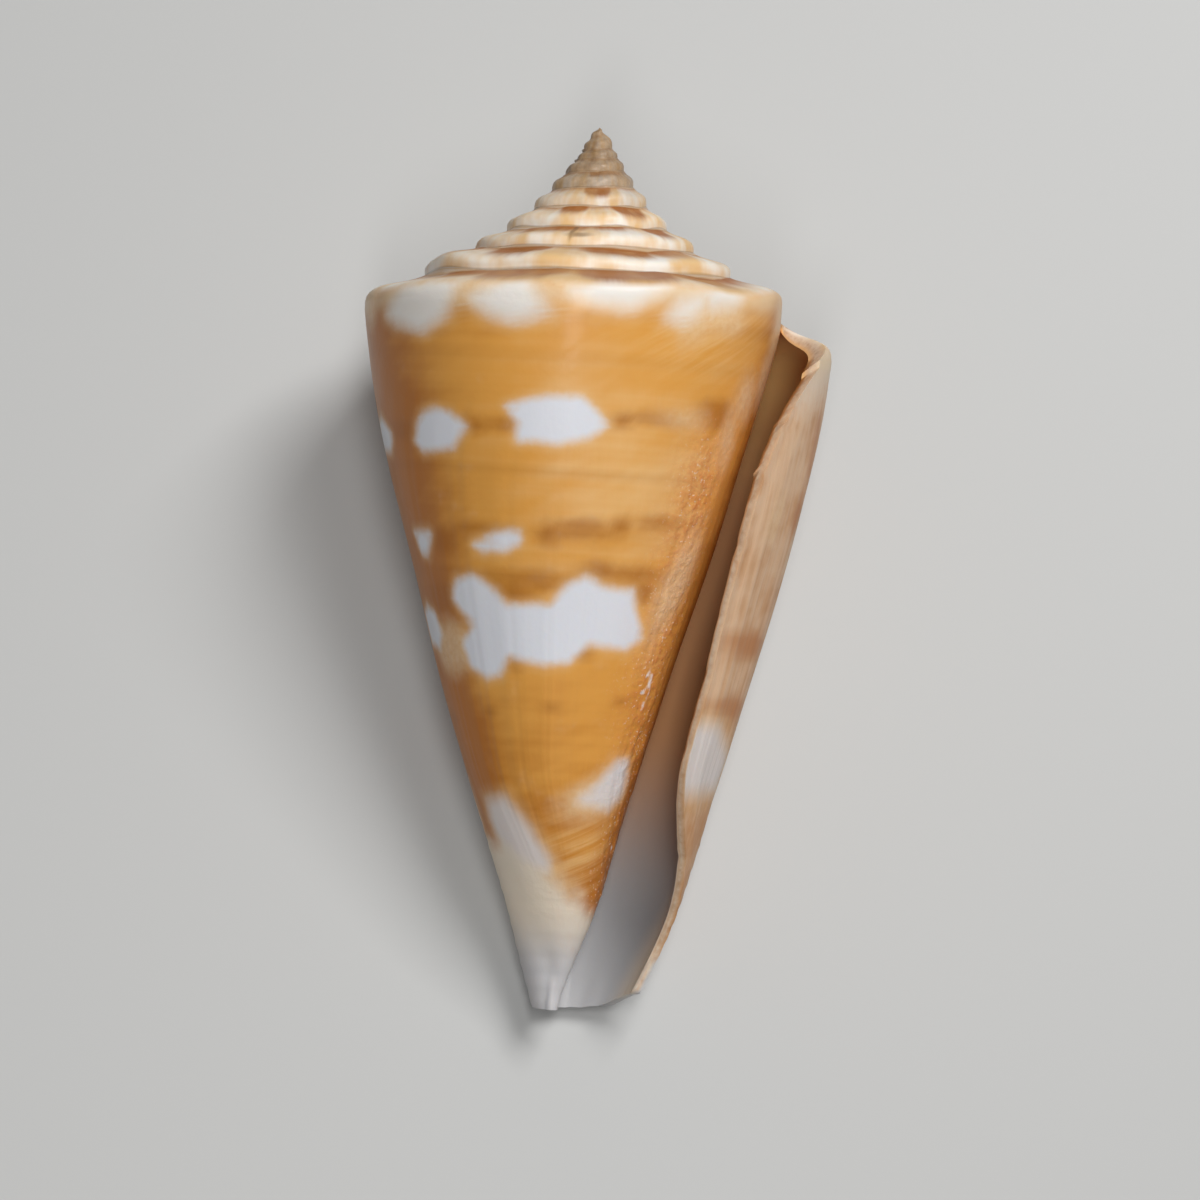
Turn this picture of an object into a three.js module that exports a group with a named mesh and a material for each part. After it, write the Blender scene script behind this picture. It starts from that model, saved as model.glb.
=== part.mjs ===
// A cone shell lying on its back with the slit of its aperture up, in millimetres, +Z up.
// The shell is one sheet that coils about its axis: a sloping ramp from the suture out to the
// shoulder, then a long side that narrows to the base. A place on the sheet is given by the turn
// of growth, where 1 is the lip and 0 is one turn before it, and by the row down the profile.
import * as THREE from 'three';
import { ParametricGeometry } from 'three/addons/geometries/ParametricGeometry.js';
import { mergeGeometries, mergeVertices } from 'three/addons/utils/BufferGeometryUtils.js';

// Overall size and coiling
const LENGTH = 50;
const SHOULDER_RADIUS = 10.97;
const GROWTH_PER_TURN = 1.39;
const LATE_SLOWING = 0.085;
const SPIRE_TURNS = 9;

// Outline of the spire: a steep core on a low cone, and the last turn that sinks to the lip
const SPIRE_CORE_HEIGHT = 4.2;
const SPIRE_CORE_RADIUS = 2.7;
const SPIRE_CORE_POWER = 1.35;
const SPIRE_SLOPE = 0.47;
const LATE_DESCENT = 1.8;
const LATE_DESCENT_POWER = 1.6;

// How far below a shoulder the next turn is attached: a share of its radius, and more at the lip.
// The rows kept for this fold up under the shoulder in the last turn, which carries no other.
const ATTACH_SHARE = 0.038;
const LIP_ATTACH_DROP = 0.55;
const BARE_SHARE = 0.25;
const BARE_TURN = 0.5;

// Shape of the ramp: its steep start at the suture and its round end at the shoulder
const RAMP_START_WIDTH = 0.35;
const RAMP_START_FALL = 0.5;
const SHOULDER_ROUNDING = 0.72;

// Slope of the side in the inner turn, at mid-turn and near the lip, and its bulge at the shoulder
const INNER_SLOPE = 0.278;
const MIDDLE_SLOPE = 0.34;
const LIP_SLOPE = 0.262;
const INNER_SLOPE_TURN = -0.11;
const MIDDLE_SLOPE_TURN = 0.39;
const LIP_SLOPE_TURN = 0.89;
const SIDE_BULGE = 5.2;

// Towards the base the side draws in, less in the inner turn, and leans over. The lip is cut back
// there, and a thin pillar stands in the middle.
const BASE_TAPER = 0.006;
const BASE_TAPER_DEPTH = 34;
const INNER_TAPER = 0.45;
const TAPER_START_TURN = -0.1;
const TAPER_FULL_TURN = 0.4;
const BASE_LEAN = 0.4;
const BASE_LEAN_START = 37;
const BASE_LEAN_END = 45;
const LIP_CUTBACK = 1.2;
const LIP_CUTBACK_TURN = 0.85;
const PILLAR_RADIUS = 0.25;
const PILLAR_BLEND = 0.15;

// The lip bows forward between its two ends, and its upper corner is drawn forward as well
const LIP_BOW = THREE.MathUtils.degToRad(42.5);
const LIP_BOW_RISE = 0.088;
const LIP_TURN_IN = 0.62;
const LIP_CORNER = THREE.MathUtils.degToRad(21);
const LIP_CORNER_TURN = 0.85;

// Wall thickness at the lip and inside, and how far the open space runs back from the lip
const LIP_WALL = 0.5;
const INNER_WALL = 0.9;
const WALL_BUILDUP_TURNS = 0.25;
const LEAST_OPENING = 0.4;
const SPACE_TURNS = 1;
const INNER_CREST_DROP = 0.8;

// The back is slightly flat where the shell lies. The plane of the flat is given by the angle round
// the axis that it faces, its distance from the axis at the apex and how it nears the axis per mm.
const FLAT_ANGLE = THREE.MathUtils.degToRad(266);
const FLAT_SPREAD = THREE.MathUtils.degToRad(45);
const FLAT_REACH = 16.25;
const FLAT_SLOPE = 0.2556;

// Attitude at rest, with the flat down: roll about the axis, then the lift of the apex
const REST_ROLL = FLAT_ANGLE - 1.5 * Math.PI;
const REST_LIFT = Math.atan(FLAT_SLOPE);

// Fineness of the facets
const COLUMNS_PER_TURN = 24;
const RAMP_ROWS = 5;
const SIDE_ROWS = 18;
const UNDER_ROW = RAMP_ROWS + 1;
const LAST_ROW = RAMP_ROWS + SIDE_ROWS;
const SPACE_END = Math.round((1 - SPACE_TURNS) * COLUMNS_PER_TURN) / COLUMNS_PER_TURN;
const WELD = 1e-4;

const ease = (from, to, value) => THREE.MathUtils.smoothstep(value, from, to);

// Radius of the shoulder; the first turn starts as a point at the apex
function shoulderRadius(turn) {
  const late = Math.max(turn, 0);
  const start = THREE.MathUtils.clamp(turn + SPIRE_TURNS, 0, 1);
  const growth = Math.log(GROWTH_PER_TURN) * turn - LATE_SLOWING * late * late;
  return SHOULDER_RADIUS * Math.exp(growth) * Math.sqrt(start);
}

// Depth of the shoulder below the apex, measured along the axis
function shoulderDepth(turn) {
  const radius = shoulderRadius(turn);
  const core = 1 - Math.exp(-((radius / SPIRE_CORE_RADIUS) ** SPIRE_CORE_POWER));
  const descent = LATE_DESCENT * Math.max(turn, 0) ** LATE_DESCENT_POWER;
  return SPIRE_CORE_HEIGHT * core + SPIRE_SLOPE * radius + descent;
}

// Distance below this turn's shoulder at which the next turn is attached
function attachDrop(turn) {
  const late = THREE.MathUtils.clamp(turn + 1, 0, 1);
  return ATTACH_SHARE * shoulderRadius(turn) + LIP_ATTACH_DROP * late ** 3;
}

// Height of the next turn's wall where it is attached
function attachWall(turn) {
  return wallThickness(turn + 1) * Math.min(shoulderRadius(turn) / SHOULDER_RADIUS, 1);
}

function sideSlope(turn) {
  const gain = (MIDDLE_SLOPE - INNER_SLOPE) * ease(INNER_SLOPE_TURN, MIDDLE_SLOPE_TURN, turn);
  const loss = (MIDDLE_SLOPE - LIP_SLOPE) * ease(MIDDLE_SLOPE_TURN, LIP_SLOPE_TURN, turn);
  return INNER_SLOPE + gain - loss;
}

// Radius of the side at a depth, blended into the pillar where the side would reach the axis
function sideRadius(turn, depth) {
  const size = shoulderRadius(turn) / SHOULDER_RADIUS;
  if (size === 0) return 0;
  const bulge = SIDE_BULGE * size;
  const below = Math.max(depth - shoulderDepth(turn), 0);
  const run = below - bulge * (1 - Math.exp(-below / bulge));
  const pillar = PILLAR_RADIUS * size;
  const full = INNER_TAPER + (1 - INNER_TAPER) * ease(TAPER_START_TURN, TAPER_FULL_TURN, turn);
  const taper = full * BASE_TAPER * Math.max(depth - BASE_TAPER_DEPTH, 0) ** 2;
  const over = shoulderRadius(turn) - sideSlope(turn) * run - taper - pillar;
  return pillar + 0.5 * (over + Math.hypot(over, 2 * PILLAR_BLEND * size));
}

function wallThickness(turn) {
  return LIP_WALL + (INNER_WALL - LIP_WALL) * ease(0, WALL_BUILDUP_TURNS, 1 - turn);
}

// Share of the way from the row under the attachment to the base, with closer rows at both ends
function sideShare(row) {
  const even = Math.max(row - UNDER_ROW, 0) / (LAST_ROW - UNDER_ROW);
  return 0.5 * (1 - Math.cos(Math.PI * even));
}

// Depth of a side row; the first two rows hold the thickness of the next turn's wall
function sideDepth(turn, row) {
  const folded = 1 - (1 - BARE_SHARE) * ease(0, BARE_TURN, turn);
  const attach = shoulderDepth(turn) + attachDrop(turn) * folded;
  if (row === RAMP_ROWS) return attach;
  const under = attach + attachWall(turn) * folded;
  const base = LENGTH - LIP_CUTBACK * ease(LIP_CUTBACK_TURN, 1, turn);
  return under + (base - under) * sideShare(row);
}

// Angle by which a row of the lip stands forward of the suture
function lipBow(turn, row) {
  const share = sideShare(row);
  const fade = Math.exp(-share / LIP_BOW_RISE);
  const bow = LIP_BOW * (1 - fade) * (1 - ease(LIP_TURN_IN, 1, share));
  const ramp = Math.min(row / (RAMP_ROWS - 1), 1);
  return bow + LIP_CORNER * ramp * ramp * fade * ease(LIP_CORNER_TURN, 1, turn);
}

// Ramp from the suture to the shoulder, both given as radius and depth
function rampProfile(suture, crest, row) {
  const width = crest.x - suture.x;
  const fall = crest.y - suture.y;
  const start = new THREE.Vector2(suture.x + RAMP_START_WIDTH * width, suture.y + RAMP_START_FALL * fall);
  const end = new THREE.Vector2(crest.x, crest.y - SHOULDER_ROUNDING * fall);
  return new THREE.CubicBezierCurve(suture, start, end, crest).getPoint(row / (RAMP_ROWS - 1));
}

// Outer face of the sheet as radius and depth
function outerProfile(turn, row) {
  if (row < RAMP_ROWS) {
    const crest = new THREE.Vector2(shoulderRadius(turn), shoulderDepth(turn));
    return rampProfile(outerProfile(turn - 1, RAMP_ROWS), crest, row);
  }
  const depth = sideDepth(turn, row);
  return new THREE.Vector2(sideRadius(turn, depth), depth);
}

// Inner face of the outer wall, which closes on the turn inside it at the end of the open space
function innerProfile(turn, row) {
  if (turn === SPACE_END) return outerProfile(turn - 1, Math.max(row, UNDER_ROW));
  const wall = wallThickness(turn);
  if (row < RAMP_ROWS) {
    const crestDepth = shoulderDepth(turn) + INNER_CREST_DROP * wall;
    const crest = new THREE.Vector2(shoulderRadius(turn) - wall, crestDepth);
    return rampProfile(outerProfile(turn - 1, UNDER_ROW), crest, row);
  }
  const depth = sideDepth(turn, row) + INNER_CREST_DROP * wall * (1 - sideShare(row));
  const inside = sideRadius(turn - 1, depth);
  const gap = sideRadius(turn, depth) - inside;
  return new THREE.Vector2(inside + Math.max(gap - wall, LEAST_OPENING * gap), depth);
}

// Radius of a place, drawn in to the plane of the flat on the back
function flattened(profile, angle) {
  const off = angle - FLAT_ANGLE;
  if (Math.abs(off) > FLAT_SPREAD) return profile.x;
  return Math.min(profile.x, (FLAT_REACH - FLAT_SLOPE * profile.y) / Math.cos(off));
}

// Point in space of a place on the sheet, with the apex at the origin and the axis along Y
function place(turn, row, profile, target) {
  const angle = 2 * Math.PI * turn + lipBow(turn, row);
  const radius = flattened(profile, angle);
  const lean = BASE_LEAN * ease(BASE_LEAN_START, BASE_LEAN_END, profile.y);
  return target.set(radius * Math.cos(angle) + lean, -profile.y, radius * Math.sin(angle));
}

// Strip of facets over a range of turns and rows; an inward one runs back from the lip
function strip(fromTurn, toTurn, fromRow, toRow, profileAt) {
  const columns = Math.round((toTurn - fromTurn) * COLUMNS_PER_TURN);
  const rows = toRow - fromRow;
  const surface = (u, v, target) => {
    const turn = Math.round(fromTurn * COLUMNS_PER_TURN + u * columns) / COLUMNS_PER_TURN;
    const row = fromRow + Math.round(v * rows);
    place(turn, row, profileAt(turn, row), target);
  };
  return new ParametricGeometry(surface, Math.abs(columns), rows);
}

// Edge of the wall between its outer and inner faces, down the lip
function lipEdge() {
  const surface = (u, v, target) => {
    const row = Math.round(v * LAST_ROW);
    const profile = u < 0.5 ? outerProfile(1, row) : innerProfile(1, row);
    place(1, row, profile, target);
  };
  return new ParametricGeometry(surface, 1, LAST_ROW);
}

// Edge of the wall between its outer and inner faces, along the base
function baseEdge() {
  const columns = Math.round(SPACE_TURNS * COLUMNS_PER_TURN);
  const surface = (u, v, target) => {
    const turn = Math.round(SPACE_END * COLUMNS_PER_TURN + u * columns) / COLUMNS_PER_TURN;
    const profile = v < 0.5 ? outerProfile(turn, LAST_ROW) : innerProfile(turn, LAST_ROW);
    place(turn, LAST_ROW, profile, target);
  };
  return new ParametricGeometry(surface, columns, 1);
}

// Solid middle of the base, one turn of the sheet's lower edge filled in
function baseMiddle() {
  const points = [];
  for (let column = 0; column <= COLUMNS_PER_TURN; column += 1) {
    const turn = Math.round((SPACE_END - 1) * COLUMNS_PER_TURN + column) / COLUMNS_PER_TURN;
    points.push(place(turn, LAST_ROW, outerProfile(turn, LAST_ROW), new THREE.Vector3()));
  }
  const outline = points.map((point) => new THREE.Vector2(point.x, point.z));
  const geometry = new THREE.BufferGeometry().setFromPoints(points);
  geometry.setIndex(THREE.ShapeUtils.triangulateShape(outline, []).flat());
  return geometry;
}

// One closed surface from the strips, without the facets that have shrunk to a line
function weld(geometries) {
  for (const geometry of geometries) {
    geometry.deleteAttribute('normal');
    geometry.deleteAttribute('uv');
  }
  const welded = mergeVertices(mergeGeometries(geometries), WELD);
  const corners = welded.getIndex().array;
  const kept = [];
  for (let i = 0; i < corners.length; i += 3) {
    const [a, b, c] = corners.subarray(i, i + 3);
    if (a !== b && b !== c && c !== a) kept.push(a, b, c);
  }
  welded.setIndex(kept);
  welded.computeVertexNormals();
  return welded;
}

function makeShell() {
  const geometry = weld([
    strip(-SPIRE_TURNS, 1, 0, RAMP_ROWS, outerProfile),
    strip(0, 1, RAMP_ROWS, LAST_ROW, outerProfile),
    strip(-SPACE_TURNS, 0, UNDER_ROW, LAST_ROW, outerProfile),
    strip(1, SPACE_END, 0, LAST_ROW, innerProfile),
    lipEdge(),
    baseEdge(),
    baseMiddle(),
  ]);
  const material = new THREE.MeshStandardMaterial({ color: 0xcd934c, roughness: 0.35, metalness: 0 });
  const shell = new THREE.Mesh(geometry, material);
  shell.name = 'shell';
  shell.rotation.set(REST_LIFT, REST_ROLL, 0);
  return shell;
}

// The origin is under the middle of the shell, on the surface that it lies on
const part = new THREE.Group();
const shell = makeShell();
part.add(shell);
const bounds = new THREE.Box3().setFromObject(part, true);
const middle = bounds.getCenter(new THREE.Vector3());
shell.position.set(-middle.x, -middle.y, -bounds.min.z);

export default part;
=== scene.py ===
import math

import bmesh
import bpy
import numpy as np
from mathutils import Matrix, Vector


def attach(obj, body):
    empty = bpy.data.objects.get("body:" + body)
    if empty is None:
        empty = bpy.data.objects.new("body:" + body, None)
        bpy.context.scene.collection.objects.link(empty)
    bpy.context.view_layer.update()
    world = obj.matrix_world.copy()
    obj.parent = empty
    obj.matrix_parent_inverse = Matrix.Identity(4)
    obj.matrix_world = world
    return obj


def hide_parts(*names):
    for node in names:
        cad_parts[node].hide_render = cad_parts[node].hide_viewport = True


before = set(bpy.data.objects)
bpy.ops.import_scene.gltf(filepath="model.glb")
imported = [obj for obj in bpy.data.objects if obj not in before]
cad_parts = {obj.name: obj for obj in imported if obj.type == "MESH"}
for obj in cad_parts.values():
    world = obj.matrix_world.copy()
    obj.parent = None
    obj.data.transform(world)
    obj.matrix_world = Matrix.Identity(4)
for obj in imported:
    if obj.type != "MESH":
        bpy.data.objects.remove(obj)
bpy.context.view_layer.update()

# The shell's own frame is in millimetres, with the apex at the origin, the axis along Y and the base
# towards -Y. Z points at the viewer and X to the right. A place on the sheet that makes up the shell is
# given by its turn of growth, 1 at the lip and 0 one turn before it, and by its row down the profile.
# Marks are placed by the angle round the axis in degrees, which grows with the turn and is 90 at the front
# of the last turn, and by the depth below the apex.
MM = 0.001
SEED = 41

# Overall size and coiling
LENGTH = 50
SHOULDER_RADIUS = 10.97
GROWTH_PER_TURN = 1.39
LATE_SLOWING = 0.085
SPIRE_TURNS = 9

# Outline of the spire and the descent of the last turn
SPIRE_CORE_HEIGHT = 4.2
SPIRE_CORE_RADIUS = 2.7
SPIRE_CORE_POWER = 1.35
SPIRE_SLOPE = 0.47
LATE_DESCENT = 1.8
LATE_DESCENT_POWER = 1.6

# Where the next turn is attached below a shoulder
ATTACH_SHARE = 0.038
LIP_ATTACH_DROP = 0.55
BARE_SHARE = 0.25
BARE_TURN = 0.5

# Ramp between the suture and the shoulder
RAMP_START_WIDTH = 0.35
RAMP_START_FALL = 0.5
SHOULDER_ROUNDING = 0.72

# Slope of the side and the bulge under the shoulder
INNER_SLOPE = 0.278
MIDDLE_SLOPE = 0.34
LIP_SLOPE = 0.262
INNER_SLOPE_TURN = -0.11
MIDDLE_SLOPE_TURN = 0.39
LIP_SLOPE_TURN = 0.89
SIDE_BULGE = 5.2

# Base and the pillar in its middle
BASE_TAPER = 0.006
BASE_TAPER_DEPTH = 34
INNER_TAPER = 0.45
TAPER_START_TURN = -0.1
TAPER_FULL_TURN = 0.4
BASE_LEAN = 0.4
BASE_LEAN_DEPTHS = 37, 45
BASE_DIMPLE = 0.4
PILLAR_RADIUS = 0.25
PILLAR_BLEND = 0.15

# Lip and wall; the wall is thicker at the lip's upper corner
LIP_CUTBACK = 1.2
LIP_CUTBACK_TURN = 0.85
LIP_BOW = math.radians(42.5)
LIP_BOW_RISE = 0.088
LIP_TURN_IN = 0.62
LIP_CORNER = math.radians(21)
LIP_CORNER_TURN = 0.85
LIP_WALL = 0.5
LIP_ROUNDING = 0.12
CORNER_WALL = 0.5
CORNER_WALL_TURN = 0.95
CORNER_WALL_FADE = 0.17
INNER_WALL = 0.9
WALL_BUILDUP_TURNS = 0.25
LEAST_OPENING = 0.4
INNER_CREST_DROP = 0.8

# Flat on the back, where the shell lies, and the attitude at rest
FLAT_ANGLE = math.radians(266)
FLAT_SPREAD = math.radians(45)
FLAT_REACH = 16.25
FLAT_SLOPE = 0.2556
FLAT_SOFTNESS = 0.06
LARGEST_POWER = 30
REST_ROLL = FLAT_ANGLE - 1.5 * math.pi
REST_LIFT = math.atan(FLAT_SLOPE)

# Fineness of the mesh; the open space is modelled as far back as it can be seen
COLUMNS = 280
RAMP_ROWS = 12
STEP_ROWS = 3
SIDE_ROWS = 92
UNDER_ROW = RAMP_ROWS + 1
LAST_ROW = RAMP_ROWS + SIDE_ROWS
ROW_CROWDING = 0.35
SPACE_COLUMNS = 160
WELD = 1e-4
SHARP_ANGLE = math.radians(60)
OUTSIDE, INSIDE, EDGE = 0.0, 1.0, 2.0

# Growth lines: width as a share of a turn, height in millimetres and seed
FINE_GROWTH = 1 / 420, 0.005, 1
BROAD_GROWTH = 1 / 130, 0.008, 2
RAMP_GROWTH = 1 / 110, 0.012, 7
# They are low at the shoulder, rise over these shares of the side, fade at these depths and stand out
# beside the lip
SHOULDER_GROWTH = 0.2
GROWTH_SHARES = 0.02, 0.2
GROWTH_DEPTHS = 37, 44
LIP_GROWTH = 3
LIP_STRIP_TURNS = 0.74, 0.86

# Irregular waves: wavelength and height in millimetres, and seed
BODY_WAVES = 9, 0.035, 3
CREST_WAVES = 7.5, 0.1, 4
STEP_WAVES = 5.5, 0.11, 12
LIP_CHIPS = (0.9, 0.025, 8), (6, 0.03, 9)
BASE_CHIPS = (1.3, 0.12, 10), (4, 0.16, 11)
WAVES = 9
WAVE_STRETCH = 0.7, 1.5
# Radii that stand for the shell's own where waves run round it
BODY_ARC, STEP_ARC, BASE_ARC = 10, 8, 4
# Where the waves reach, and the radii at which those of the spire are full
BODY_WAVE_TURNS = 6
BODY_WAVE_DEPTHS = 40, 46
CREST_ROWS = 3
CREST_FULL_RADIUS = 6
CREST_TURN_LENGTH = 7
CREST_CALM = 0.6
CREST_CALM_TURNS = 0.25, 0.5
RAMP_FULL_RADIUS = 8
LEAST_SHARE = 0.1
STEP_REACH = 1.5
STEP_FULL_RADIUS = 9
STEP_LAST_TURN = 0.85
INNER_RELIEF = 0.3

# Cords round the base: spacing and height, and the depths over which they come up
BASE_CORDS = 1.05, 0.02
BASE_CORD_DEPTHS = 36, 42

# Nicks in the lip: depth, how far they go back, or forward where negative, and half width
LIP_NICKS = (16.6, -0.22, 0.14), (19.2, -0.2, 0.12), (23.4, 0.14, 0.25), (30.6, 0.1, 0.5), (40.8, 0.2, 0.3)
LIP_EDGE_TURN = 0.975
# Heights above the base and radii over which its edge is chipped
BASE_CHIP_HEIGHTS = 2.6, 0.6
BASE_CHIP_RADII = 1.2, 4.2

# Worn strip beside the aperture: its middle, half width and ends, and its dents and blisters
WORN_DEPTHS = 16, 23, 32, 37, 45
WORN_ANGLES = 44, 41, 40, 24, 4
WORN_WIDTH = 1.8
WORN_START = 15, 20
WORN_END = 43, 46
LEAST_WORN = 0.02
PITS = 480
PIT_SEED = 5
PIT_SIZES = 0.1, 0.26
PIT_SPREAD = 0.75
PIT_SIGNS = -1.0, 0.6
PIT_STEEPNESS = 0.25, 0.5

# Scar beside the apex: angle, depth and half width, and how deep it goes
APEX_SCAR = 185, 1.6, 0.55
SCAR_DEPTH = 0.2

# White marks on the outside, each an outline of points given as angle and depth
WHITE_OUTLINES = (
    # Along the shoulder
    ((154, 11.5), (146, 9.9), (130, 9.3), (126, 9.8), (130, 11.6), (139, 12.5), (150, 12.1)),
    ((121, 10.6), (112, 9.4), (106, 9.4), (101, 11.2), (109, 11.8), (116, 11.5)),
    ((94, 10), (86, 9), (70, 8.9), (67, 9.5), (78, 10.7), (88, 10.5)),
    ((67, 11), (64, 10.2), (56, 9.8), (57, 10.5), (62, 11.4)),
    ((56, 9.7), (50, 8.8), (39, 8.8), (44, 9.8), (53, 10.3)),
    # A third of the way down
    ((112, 16.4), (101, 15.8), (90, 15.7), (82, 17.1), (88, 17.9), (97, 18.3), (109, 18.2), (108, 17.3)),
    ((148, 18.5), (144, 17.2), (136, 16.7), (131, 16.9), (126, 17.7), (132, 18.8), (145, 19)),
    ((180, 17.3), (170, 17.3), (163, 18.2), (167, 19), (183, 19)),
    ((128, 24.1), (119, 23.4), (109, 23.2), (109, 23.7), (116, 24.3), (125, 24.4)),
    ((161, 23.6), (149, 23.5), (154, 24.7), (159, 24.6)),
    # The large patch at the middle
    ((143, 27.1), (139, 26), (130, 25.8), (124, 26.3), (116, 27.3), (97, 27.1), (91, 26), (84, 25.5),
     (77, 26), (64, 26.1), (59, 27.5), (54, 28.6), (61, 29.3), (80, 29.1), (88, 30.2), (100, 30.4),
     (117, 30.1), (123, 31.1), (131, 31.4), (140, 30.9), (142, 29.5), (133, 28.4), (140, 27.8)),
    ((176, 28), (168, 27.6), (160, 28), (158, 29.2), (164, 30), (176, 29.6)),
    # Towards the base
    ((153, 38.4), (132, 38), (115, 39.6), (99, 41.4), (101, 42.1), (137, 42.1), (154, 41.4), (158, 39.5)),
    ((75, 38), (58, 36.7), (50, 35.7), (40, 35.6), (35, 36.5), (36, 37.6), (46, 38.3), (62, 38.1)),
    # Beside the lip
    ((414, 34), (402, 33.2), (390, 33.4), (372, 35.4), (373, 36.8), (391, 37), (412, 37.4)),
)
# Oval marks: angle, depth, half width and half height in millimetres, and lean in degrees
CREAM_MARKS_AND_RIDGE_HIGHLIGHT = (
    # the tall leaning mark at 41 degrees and 25.8 mm down is a painted highlight on the lit crest of a ridge
    (56, 16.4, 0.8, 0.3, -3), (41, 25.8, 1.0, 2.6, 16), (66, 37.8, 1.5, 0.9, -29),
    (122, 43.0, 2.2, 1.5, 0), (152, 29.8, 1.8, 1.3, -20), (13, 10.8, 1.5, 2.2, 0), (14, 13.6, 1.5, 1.8, 0),
    (28, 15.0, 1.0, 1.4, -30), (33, 17.2, 0.6, 1.5, -10), (57, 11.3, 0.7, 1.0, 40), (122, 10.0, 3.6, 0.8, 0),
    (98, 9.6, 3.0, 0.6, 0), (48, 10.6, 1.4, 0.9, 0), (168, 10.4, 1.6, 1.6, 0), (390, 21.6, 0.45, 0.8, 0),
)
BROWN_MARKS = (
    (123, 17.5, 0.5, 0.32, 0), (117, 17.4, 1.5, 0.2, 0), (110, 17.3, 0.35, 0.3, 0), (157, 17.9, 1.4, 0.45, 0),
    (77, 16.8, 0.45, 0.26, 0), (67, 16.6, 0.9, 0.22, 0), (43, 16.0, 1.3, 0.7, 0), (99, 23.2, 0.55, 0.5, 0),
    (87, 22.9, 1.7, 0.45, 0), (73, 22.6, 0.6, 0.45, 0), (59, 22.3, 1.3, 0.3, 0), (124, 23.2, 1.2, 0.22, 0),
    (142, 23.9, 1.0, 0.65, 0), (88, 27.3, 0.75, 0.24, 0), (83, 29.6, 0.45, 0.35, 0), (115, 30.3, 0.5, 0.4, 0),
    (112, 26.5, 1.1, 0.55, 0), (106, 25.9, 2.3, 0.36, 0), (78, 25.1, 0.9, 0.42, 0), (64, 25.2, 1.8, 0.42, 0),
    (58, 26.2, 0.65, 0.5, 0), (151, 27.0, 1.5, 0.9, 0), (140, 28.3, 0.9, 0.2, 0), (384, 28.7, 3.0, 0.7, 0),
    (384, 32.3, 2.4, 0.7, 0), (374, 21.2, 0.9, 1.2, 0), (372, 17.5, 0.8, 2.0, 0),
    (163, 28.6, 0.8, 1.2, 0),
)
# A crack and its branch high on the spire
CRACK_MARKS = (-619, 6.2, 0.11, 0.55, 8), (-623, 6.55, 0.55, 0.09, 0)
# Painted glints in the worn strip: white flecks that stand for specular highlights off its pits
PAINTED_GLINT_MARKS = (
    (43, 30.5, 0.16, 0.3, 10), (40, 31.0, 0.22, 0.42, -8), (44, 31.6, 0.2, 0.22, 0),
    (39, 32.0, 0.14, 0.3, 20), (41, 32.5, 0.12, 0.16, 0), (50, 24.0, 0.14, 0.12, 0),
    (45, 22.8, 0.12, 0.2, 15), (35, 34.4, 0.12, 0.14, 0), (30, 36.6, 0.1, 0.18, 0),
    (24, 40.6, 0.12, 0.2, 0), (18, 42.2, 0.1, 0.2, 0),
)
# Value of a mark's field far outside the mark, how far from its middle a mark is worked out, and the turn
# whose radius stands for the side's all round
FAR_OUTSIDE = -4.0
NEAR_ANGLE = 75
NEAR_DEPTH = 8
SIDE_TURN = 0.4

# Rows of white marks on the back: depth, half width and half height. Each mark is an oval with lobes, and
# the first one starts within so many degrees of the row's first angle.
BACK_ROWS = (10.4, 2.4, 1.1), (17.2, 2.2, 1.2), (23.7, 1.3, 0.5), (28.4, 2.8, 1.9), (38.5, 1.4, 1.8)
BACK_SEED = 20
BACK_ANGLES = 192, 352
BACK_START = 12
BACK_WIDTHS = 0.5, 1.1
BACK_HEIGHTS = 0.7, 1.15
BACK_SHIFT = 0.35
BACK_LEAN = 14
# Steps in degrees from mark to mark where the shell's radius is 10 mm; they are wider where it is narrow
BACK_STEPS = 16, 34
BACK_STEP_RADIUS = 10
BACK_STEP_SOFTNESS = 4
MARK_LOBES = 3
LOBE_ASIDE = 0.9
LOBE_ABOVE = 0.6
LOBE_SIZES = 0.35, 0.7
LOBE_LEAN = 25

# Brown patches beside the suture: lengths in degrees and shares of the ramp
RAMP_PATCHES = 110
PATCH_SEED = 30
PATCH_LENGTHS = 10, 30
PATCH_SHARES = 0.3, 0.8
PATCH_SOFTNESS = 7
SUTURE_SHARE = 0.12
# width of the painted shadow in the suture, as a share of the ramp
SUTURE_SHADOW_WIDTH = 0.1
# Patches seen on the ramps in front: whorls above the last, first and last angle, share of the ramp
FRONT_PATCHES = (
    (0, 124, 146, 0.4), (0, 98, 126, 0.65), (0, 60, 94, 0.7), (0, 34, 60, 0.5), (0, 14, 38, 0.35),
    (1, 111, 138, 0.6), (1, 60, 94, 0.55), (1, 36, 60, 0.45), (2, 92, 138, 0.45), (2, 66, 94, 0.3),
    (2, 30, 52, 0.65), (3, 97, 120, 0.6), (3, 40, 72, 0.75), (4, 72, 102, 0.7), (5, 40, 102, 0.45),
)
FRONT_ANGLE = 150
FRONT_TURN = 0.4

# Lighter and deeper parts of the orange: strength, and where they lie. Oval areas are given as angle,
# its spread, depth and its spread. The lighter oval is painted light on the upper front, and the deeper right
# and left sides are painted shade.
# painted light: the orange is lighter over this oval on the upper front, where the key light falls
PAINTED_LIGHT_TONE = 0.6
PAINTED_LIGHT_AREA = 72, 42, 20, 7
LOW_TONE, LOW_DEPTHS = 0.8, (30, 40)
TOP_TONE, TOP_DEPTHS = 0.6, (10.5, 14)
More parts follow.
